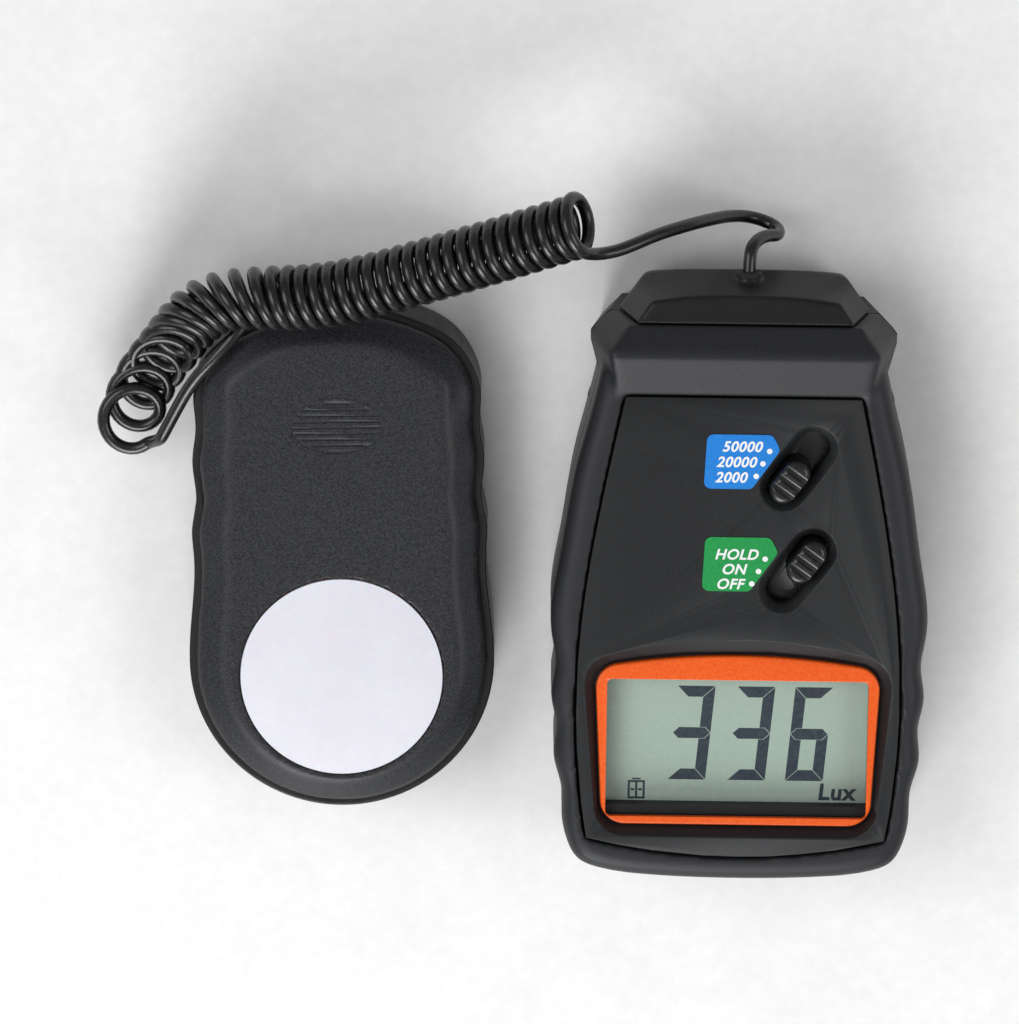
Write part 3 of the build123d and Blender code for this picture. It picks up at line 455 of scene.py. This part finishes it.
    def finish_flat(self, piece: bpy.types.Object, finish: Finish, body: str) -> bpy.types.Object:
        """Makes a flat curve or text a mesh at the origin, paints it and puts it on a body.

        Args:
            piece: the curve or text, where it belongs.
            finish: what it is made of.
            body: the body it rides on.

        Returns:
            The same piece.
        """
        self.select_only(piece)
        bpy.ops.object.convert(target="MESH")
        piece = bpy.context.object
        bpy.ops.object.transform_apply(location=True, rotation=True, scale=True)
        bpy.ops.object.mode_set(mode="EDIT")
        bpy.ops.mesh.select_all(action="SELECT")
        bpy.ops.mesh.remove_doubles(threshold=0.001 * MM)
        bpy.ops.object.mode_set(mode="OBJECT")
        self.paint(piece, finish)
        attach(piece, body)
        log.info("%s: %d faces", piece.name, len(piece.data.polygons))
        return piece


def ring(middle: Flat, radius: float, count: int = 20) -> List[Flat]:
    """Round outline in plan."""
    return [(middle[0] + radius * math.cos(2 * math.pi * i / count),
             middle[1] + radius * math.sin(2 * math.pi * i / count)) for i in range(count)]


# ---- the meter ----
@dataclass
class Meter:
    """The meter's shells, panel, printing and display."""

    shop: Workshop
    body: str = "meter"
    print_height: float = 26.14
    print_size: float = 2.75
    # Words with the right end of each base line, and the dots, in millimetres.
    range_print: Tuple[Tuple[str, float, float], ...] = (("50000", 3.4, 25.8), ("20000", 2.4, 22.85),
                                                         ("2000", 0.7, 19.9))
    range_dots: Tuple[Flat, ...] = ((4.9, 25.9), (3.7, 23.5), (2.5, 21.1))
    power_print: Tuple[Tuple[str, float, float], ...] = (("HOLD", 3.1, 5.1), ("ON", 0.9, 2.25),
                                                         ("OFF", 0.5, -0.6))
    power_dots: Tuple[Flat, ...] = ((4.5, 5.2), (3.3, 2.8), (2.1, 0.4))

    def build(self) -> None:
        """Builds every piece of the meter."""
        self.build_shells()
        self.build_printing()
        self.build_display()

    def build_shells(self) -> None:
        """Rounds the edges of the shells, the panel, the bezel and the knobs."""
        housing = self.shop.softened("front_housing", 0.5, 22, self.housing_softness)
        self.shop.finish_skin(housing, "front_housing", CASE_ABS, "case_plastic", self.body)
        cap = self.shop.softened("top_cap", 0.3, 30, self.cap_softness)
        self.shop.finish_skin(cap, "top_cap", CAP_ABS, "cap_plastic", self.body)
        self.shop.bevelled("face_panel", PANEL_ABS, "panel_plastic", self.body, lambda place: 0.2,
                           flatness=2.5)
        self.shop.bevelled("display_bezel", BEZEL_ABS, "bezel_orange", self.body, lambda place: 0.12)
        for name in ("range", "power"):
            self.shop.bevelled(f"{name}_knob", KNOB_ACETAL, "knob_plastic", f"{name}_switch_slide",
                               lambda place: 0.08)

    @staticmethod
    def housing_softness(place: Vector) -> float:
        """Soft on the collar and the flanks, crisp round the panel and along the parting lines.

        Args:
            place: a place on the skin, in millimetres.

        Returns:
            The smoothing's share, from 0 to 1.
        """
        if place.z < 15.2 or place.y > 48.8:
            return 0.05
        if place.y > 37.0:
            return 1.0
        return 0.5

    @staticmethod
    def cap_softness(place: Vector) -> float:
        """Soft round the end and the sides, crisp at the parting line and the lead's hole.

        Args:
            place: a place on the skin, in millimetres.

        Returns:
            The smoothing's share, from 0 to 1.
        """
        if place.y < 50.3 or math.hypot(place.x - 0.6, place.z - 18.4) < 4.2:
            return 0.05
        return 1.0

    def build_printing(self) -> None:
        """Prints the switch positions and their dots on the two labels."""
        for name, slot, lines, dots in (("range", "label_blue", self.range_print, self.range_dots),
                                        ("power", "label_green", self.power_print, self.power_dots)):
            for words, end, base in lines:
                self.shop.lettering(f"{name}_print_{words}", words, self.print_size,
                                    (end, base, self.print_height), WHITE_INK, slot, self.body, weight=0.07)
            self.shop.flat_shapes(f"{name}_dots", [ring(dot, 0.52) for dot in dots], self.print_height - 0.02,
                                  self.print_height + 0.02, WHITE_INK, slot, self.body)

    def digit(self, segments: str, left: float, low: float, width: float = 7.1,
              height: float = 18.3) -> List[List[Flat]]:
        """Outlines of one seven-segment digit.

        Args:
            segments: letters a to g of the segments that are on.
            left: the digit's left edge at its base.
            low: the digit's base.
            width: the digit's width.
            height: the digit's height.

        Returns:
            One outline for each segment, leaning to the right.
        """
        bar, gap, middle = 2.1, 0.1, height / 2
        half = bar / 2

        def end(edge: float, inward: float) -> List[Flat]:
            """Level segment along the top or the base."""
            return [(gap, edge), (width - gap, edge), (width - bar - gap, edge + inward * bar),
                    (bar + gap, edge + inward * bar)]

        def upright(outer: float, side: float, edge: float, inward: float) -> List[Flat]:
            """Upright segment between an end and the middle."""
            return [(outer, middle - inward * gap), (outer, edge + inward * gap),
                    (outer - side * bar, edge + inward * (bar + gap)),
                    (outer - side * bar, middle - inward * (half + gap)),
                    (outer - side * half, middle - inward * (half + gap))]

        shapes = {"a": end(height, -1.0), "d": end(0.0, 1.0),
                  "g": [(gap, middle), (half + gap, middle + half),
                        (width - half - gap, middle + half), (width - gap, middle),
                        (width - half - gap, middle - half), (half + gap, middle - half)],
                  "f": upright(0.0, -1.0, height, -1.0), "b": upright(width, 1.0, height, -1.0),
                  "e": upright(0.0, -1.0, 0.0, 1.0), "c": upright(width, 1.0, 0.0, 1.0)}
        lean = 0.09
        return [[(left + x + y * lean, low + y) for x, y in shapes[key]] for key in segments]

    def build_display(self) -> None:
        """Reading, unit and battery symbol on the display glass."""
        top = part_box("display_glass")[1][2] / MM
        outlines: List[List[Flat]] = []
        for left, segments in ((-12.8, "abcdg"), (-1.6, "abcdg"), (9.3, "acdefg")):
            outlines += self.digit(segments, left, -39.7)
        left, low, bar = -20.2, -43.6, 0.4
        for x, y, wide, tall in ((0, 0, 3.2, bar), (0, 3.2, 3.2, bar), (0, bar, bar, 3.2 - bar),
                                 (3.2 - bar, bar, bar, 3.2 - bar), (1.4, bar, bar, 3.2 - bar),
                                 (bar + 0.15, 1.6, 0.7, bar), (1.95, 1.6, 0.7, bar), (0.8, 3.75, 1.6, 0.3)):
            right, high = x + wide, y + tall
            outlines.append([(left + x, low + y), (left + right, low + y), (left + right, low + high),
                             (left + x, low + high)])
        self.shop.flat_shapes("display_reading", outlines, top, top + 0.03, SEGMENT_INK, "display", self.body)
        self.shop.lettering("display_unit", "Lux", 4.4, (22.4, -43.3, top + 0.03), SEGMENT_INK, "display",
                            self.body, slant=0.1, weight=0.13)


# ---- the sensor head ----
@dataclass
class SensorHead:
    """The sensor head's two shells."""

    shop: Workshop
    body: str = "meter"
    # Place of the thumb mark from the diffuser's middle, and half its crisp region, in millimetres.
    mark_offset: ClassVar[Vector] = Vector((-1.3, 48.2))
    mark_reach: ClassVar[Flat] = (9.6, 5.8)
    diffuser_middle: ClassVar[Vector] = ((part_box("diffuser")[0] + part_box("diffuser")[1]) / (2 * MM)).xy

    def build(self) -> None:
        """Softens the crown round the thumb mark and rounds the rear shell."""
        crown = self.shop.softened("sensor_front_shell", 0.5, 40, self.crown_softness)
        self.shop.finish_skin(crown, "sensor_front_shell", HEAD_ABS, "case_plastic", self.body)
        self.add_thumb_ribs(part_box("sensor_front_shell")[1][2] / MM)
        self.shop.bevelled("sensor_rear_shell", CAP_ABS, "cap_plastic", self.body, lambda place: 0.3)

    def add_thumb_ribs(self, top: float) -> None:
        """Level ribs that stand in the oval thumb mark.

        Args:
            top: the height of the crown in millimetres.
        """
        along = self.mark_offset.normalized()
        across = Vector((along.y, -along.x))
        centre = self.diffuser_middle + self.mark_offset
        ribs, half_wide, half_tall, half_rib = 8, 8.5, 5.1, 0.26
        outlines = []
        for index in range(ribs):
            place = (index + 1) * 2 * half_tall / (ribs + 1) - half_tall
            reach = half_wide * math.sqrt(1 - (place / half_tall) ** 2) - 0.3
            outlines.append([tuple(centre + across * x + along * (place + y))
                             for x, y in ((-reach, -half_rib), (reach, -half_rib), (reach, half_rib),
                                          (-reach, half_rib))])
        turns = [math.radians(5.0 * step) for step in range(72)]
        outlines += [[tuple(centre + across * (half_wide + grow) * math.cos(t)
                            + along * (half_tall + grow) * math.sin(t))
                      for t in turns] for grow in (0.1, 0.45)]
        self.shop.flat_shapes("thumb_ribs", outlines, top - 0.5, top + 0.06, HEAD_ABS, "case_plastic",
                              self.body)

    @staticmethod
    def crown_softness(place: Vector) -> float:
        """Soft over the crown, crisp at the diffuser's opening and the rim.

        Args:
            place: a place on the skin, in millimetres.

        Returns:
            The smoothing's share, from 0 to 1.
        """
        away = place.xy - SensorHead.diffuser_middle
        if away.length < 20.2:
            return 0.06
        from_mark = away - SensorHead.mark_offset
        mark = math.hypot(from_mark.x / SensorHead.mark_reach[0], from_mark.y / SensorHead.mark_reach[1])
        soft = 1.0 if place.z > 17.4 else 0.25
        return soft * min(max((mark - 1.0) * 4.0, 0.0), 1.0)


# ---- the curly lead ----
METER_ROUTE: Tuple[Point, ...] = (
    (0.6, 53.4, 18.4), (0.6, 60.0, 18.4), (1.0, 63.0, 17.2), (3.4, 64.0, 13.6), (6.4, 63.2, 10.0),
    (6.0, 64.0, 5.6), (1.4, 65.6, 4.9), (-3.0, 66.6, 8.8), (-7.0, 67.0, 14.2), (-11.6, 66.9, 19.2),
    (-17.0, 66.0, 23.1), (-22.6, 64.1, 26.2), (-28.4, 62.4, 28.0),
)
COIL_ROUTE: Tuple[Point, ...] = (
    (-30.0, 69.2, 28.4), (-44.6, 64.3, 28.1), (-58.4, 60.0, 27.9), (-70.0, 56.4, 27.8), (-80.0, 54.4, 27.8),
    (-89.0, 54.2, 27.8), (-95.6, 53.4, 26.4), (-100.4, 50.6, 22.0), (-104.0, 45.6, 16.4),
    (-107.0, 40.4, 11.2), (-110.6, 35.2, 8.2), (-113.4, 29.6, 7.6), (-114.9, 24.6, 9.4),
)
SENSOR_ROUTE: Tuple[Point, ...] = (
    (-109.6, 20.6, 10.6), (-106.2, 28.2, 14.8), (-102.4, 36.0, 18.8), (-97.6, 41.6, 20.5),
    (-93.4, 46.6, 20.4), (-88.2, 53.0, 16.6), (-82.14, 54.43, 9.0), (-81.88, 44.84, 9.0),
)


class Route:
    """A smooth line through space, read from a NURBS spline."""

    def __init__(self, name: str, points: Sequence[Point]) -> None:
        """Reads the line of a spline with these control points.

        Args:
            name: the name of the curve that is read and removed.
            points: control points in millimetres.
        """
        line = bpy.data.curves.new(name, "CURVE")
        line.dimensions = "3D"
        line.resolution_u = 16
        spline = line.splines.new("NURBS")
        spline.points.add(len(points) - 1)
        for target, point in zip(spline.points, points):
            target.co = (*[c * MM for c in point], 1.0)
        spline.order_u = 3
        spline.use_endpoint_u = True
        holder = bpy.data.objects.new(name, line)
        bpy.context.scene.collection.objects.link(holder)
        bpy.context.view_layer.update()
        mesh = bpy.data.meshes.new_from_object(holder.evaluated_get(bpy.context.evaluated_depsgraph_get()))
        self.points = [Vector(v.co) for v in mesh.vertices]
        bpy.data.objects.remove(holder)
        bpy.data.curves.remove(line)
        bpy.data.meshes.remove(mesh)
        self.marks = [0.0]
        for before, after in zip(self.points, self.points[1:]):
            self.marks.append(self.marks[-1] + (after - before).length)

    @property
    def length(self) -> float:
        """The line's length in metres."""
        return self.marks[-1]

    def at(self, distance: float) -> Vector:
        """The point so far along the line."""
        distance = min(max(distance, 0.0), self.length)
        for index in range(1, len(self.marks)):
            if self.marks[index] >= distance:
                run = self.marks[index] - self.marks[index - 1]
                share = (distance - self.marks[index - 1]) / run if run else 0.0
                return self.points[index - 1].lerp(self.points[index], share)
        return self.points[-1].copy()


def keyed(keys: Sequence[Flat], where: float) -> float:
    """Value at a place on a line of straight stretches between keys."""
    for (a, first), (b, second) in zip(keys, keys[1:]):
        if where <= b:
            return first + (second - first) * max(where - a, 0.0) / (b - a)
    return keys[-1][1]


def bridge(start: Vector, leaving: Vector, end: Vector, arriving: Vector, count: int = 10) -> List[Vector]:
    """Smooth link between two points with their directions, ends left out."""
    reach = (end - start).length
    points = []
    for step in range(1, count):
        t = step / count
        points.append(start * (2 * t ** 3 - 3 * t ** 2 + 1) + leaving.normalized() * reach * (t ** 3 - 2 * t ** 2 + t)
                      + end * (3 * t ** 2 - 2 * t ** 3) + arriving.normalized() * reach * (t ** 3 - t ** 2))
    return points


@dataclass
class CurlyLead:
    """The lead from the meter to the sensor head, coiled between its two straight ends."""

    shop: Workshop
    body: str = "meter"
    wire: float = 2.4
    mean_radius: float = 4.95
    first_radius: float = 5.6
    points_per_turn: int = 28
    end_phase: float = -0.14
    # The view direction's tilt, about which the turns fan out.
    tilt: float = 15.0
    # Millimetres along the coil, with the pitch there in millimetres.
    pitch: Tuple[Flat, ...] = ((0.0, 2.56), (56.0, 2.56), (66.0, 3.6), (72.0, 4.3), (110.0, 4.4))
    # Millimetres along the coil, with the turns' heading and their lean out of the flat in degrees.
    heading: Tuple[Flat, ...] = ((0.0, 10.0), (56.0, 10.0), (64.0, 22.0), (70.0, 36.0), (78.0, 56.0),
                                 (86.0, 70.0), (94.0, 84.0), (104.0, 95.0))
    lean: Tuple[Flat, ...] = ((0.0, -30.0), (30.0, -24.0), (56.0, -20.0), (66.0, -6.0), (74.0, 2.0), (82.0, 14.0),
                              (90.0, 36.0), (98.0, 56.0), (104.0, 66.0))

    def helix(self, axis: Route) -> List[Vector]:
        """Points of the turns round the coil's axis.

        Args:
            axis: the line the turns go round.

        Returns:
            The points, from the meter's end to the sensor head's end.
        """
        steps = 2000
        turns = [0.0]
        stride = axis.length / steps
        for index in range(steps):
            turns.append(turns[-1] + stride / (keyed(self.pitch, (index + 0.5) * stride / MM) * MM))
        whole = round(turns[-1]) + self.end_phase
        scale = whole / turns[-1]
        log.info("coil: %.2f turns", whole)
        up = Vector((0.0, math.cos(math.radians(self.tilt)), -math.sin(math.radians(self.tilt))))
        out = Vector((0.0, math.sin(math.radians(self.tilt)), math.cos(math.radians(self.tilt))))
        side = Vector((1.0, 0.0, 0.0))
        points: List[Vector] = []
        count = int(whole * self.points_per_turn)
        cursor = 0
        for index in range(count + 1):
            turn = whole * index / count
            while cursor < steps - 1 and turns[cursor + 1] * scale < turn:
                cursor += 1
            low, high = turns[cursor] * scale, turns[cursor + 1] * scale
            along = (cursor + (turn - low) / (high - low)) * stride
            where = along / MM
            head = math.radians(keyed(self.heading, where))
            rise = math.radians(keyed(self.lean, where))
            normal = (side * -math.cos(head) * math.cos(rise) + up * -math.sin(head) * math.cos(rise)
                      + out * math.sin(rise))
            first = side * math.sin(head) - up * math.cos(head)
            second = normal.cross(first)
            radius = (self.mean_radius + (self.first_radius - self.mean_radius) * max(0.0, 1.0 - turn)) * MM
            phase = 2 * math.pi * turn
            points.append(axis.at(along) + (first * math.cos(phase) + second * math.sin(phase)) * radius)
        return points

    def build(self) -> None:
        """Joins the two straight ends to the turns and makes the jacket."""
        meter_end = Route("meter_route", METER_ROUTE)
        axis = Route("coil_route", COIL_ROUTE)
        head_end = Route("sensor_route", SENSOR_ROUTE)
        coil = self.helix(axis)
        kept = meter_end.length - 6.0 * MM
        before = [p for p, mark in zip(meter_end.points, meter_end.marks) if mark < kept]
        after = [p for p, mark in zip(head_end.points, head_end.marks) if mark > 3.0 * MM]
        line = list(before)
        line += bridge(before[-1], before[-1] - before[-2], coil[0], coil[1] - coil[0])
        line += coil
        line += bridge(coil[-1], coil[-1] - coil[-2], after[0], after[1] - after[0])
        line += after
        curve = bpy.data.curves.new("curly_lead", "CURVE")
        curve.dimensions = "3D"
        curve.bevel_depth = self.wire / 2 * MM
        curve.bevel_resolution = 4
        curve.use_fill_caps = True
        spline = curve.splines.new("POLY")
        spline.points.add(len(line) - 1)
        for target, point in zip(spline.points, line):
            target.co = (*point, 1.0)
        spline.use_smooth = True
        piece = bpy.data.objects.new("curly_lead", curve)
        bpy.context.scene.collection.objects.link(piece)
        self.shop.paint(piece, JACKET_VINYL)
        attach(piece, self.body)
        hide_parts("meter_lead", "coil", "sensor_lead")


# ---- studio ----
@dataclass
class Studio:
    """Floor, soft lights and the camera."""

    shop: Workshop
    target: Point = (-43.15, 10.33, 14.0)
    tilt: float = 15.0
    roll: float = 0.8
    lens: float = 300.0
    distance: float = 1589.0
    lamps: Tuple[Tuple[str, Point, float, float], ...] = (
        ("key", (-260.0, -900.0, 620.0), 700.0, 9.6),
        ("fill", (-650.0, 150.0, 800.0), 700.0, 3.4),
        ("side", (750.0, -100.0, 800.0), 600.0, 2.6),
    )

    def build(self) -> None:
        """Sets the floor, the lights and the camera."""
        bpy.ops.object.select_all(action="DESELECT")
        bpy.ops.mesh.primitive_plane_add(size=6.0, location=(0.0, 0.0, 0.0))
        floor = bpy.context.object
        floor.name = "studio_floor"
        self.shop.paint(floor, FLOOR_PAINT)
        for name, place, size, power in self.lamps:
            light = bpy.data.lights.new(name, "AREA")
            light.shape = "DISK"
            light.size = size * MM
            light.energy = power
            lamp = bpy.data.objects.new(name, light)
            bpy.context.scene.collection.objects.link(lamp)
            lamp.location = [c * MM for c in place]
            aim = Vector([c * MM for c in self.target]) - lamp.location
            lamp.rotation_euler = aim.to_track_quat("-Z", "Y").to_euler()
        world = bpy.data.worlds.new("studio")
        world.use_nodes = True
        world.node_tree.nodes["Background"].inputs["Color"].default_value = linear("#FFFFFF")
        world.node_tree.nodes["Background"].inputs["Strength"].default_value = 0.3
        bpy.context.scene.world = world
        bpy.context.scene.view_settings.view_transform = "Standard"
        self.place_camera()

    def place_camera(self) -> None:
        """Puts the camera where the whole object is seen from a little beyond its cord end."""
        angle, turn = math.radians(self.tilt), math.radians(self.roll)
        back = Vector((0.0, math.sin(angle), math.cos(angle)))
        upward = Vector((0.0, math.cos(angle), -math.sin(angle)))
        right = Vector((math.cos(turn), 0.0, 0.0)) + upward * math.sin(turn)
        top = upward * math.cos(turn) - Vector((math.sin(turn), 0.0, 0.0))
        view = bpy.data.cameras.new("camera")
        view.lens = self.lens
        view.sensor_width = 36.0
        view.sensor_fit = "HORIZONTAL"
        view.clip_start = 0.05
        view.clip_end = 20.0
        camera = bpy.data.objects.new("camera", view)
        bpy.context.scene.collection.objects.link(camera)
        place = Vector([c * MM for c in self.target]) + back * self.distance * MM
        camera.matrix_world = Matrix((
            (right.x, top.x, back.x, place.x), (right.y, top.y, back.y, place.y),
            (right.z, top.z, back.z, place.z), (0.0, 0.0, 0.0, 1.0)))
        bpy.context.scene.camera = camera


def main() -> None:
    """Builds the object and its studio, and reports each piece."""
    logging.basicConfig(level=logging.INFO, format="%(name)s %(message)s")
    shop = Workshop()
    for node, finish in PLAIN_NODES.items():
        shop.paint(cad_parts[node], finish)
        bpy.context.view_layer.objects.active = None
        log.info("%s: %s", node, finish.name)
    Meter(shop).build()
    SensorHead(shop).build()
    CurlyLead(shop).build()
    Studio(shop).build()


if __name__ == "__main__":
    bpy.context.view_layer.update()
    main()
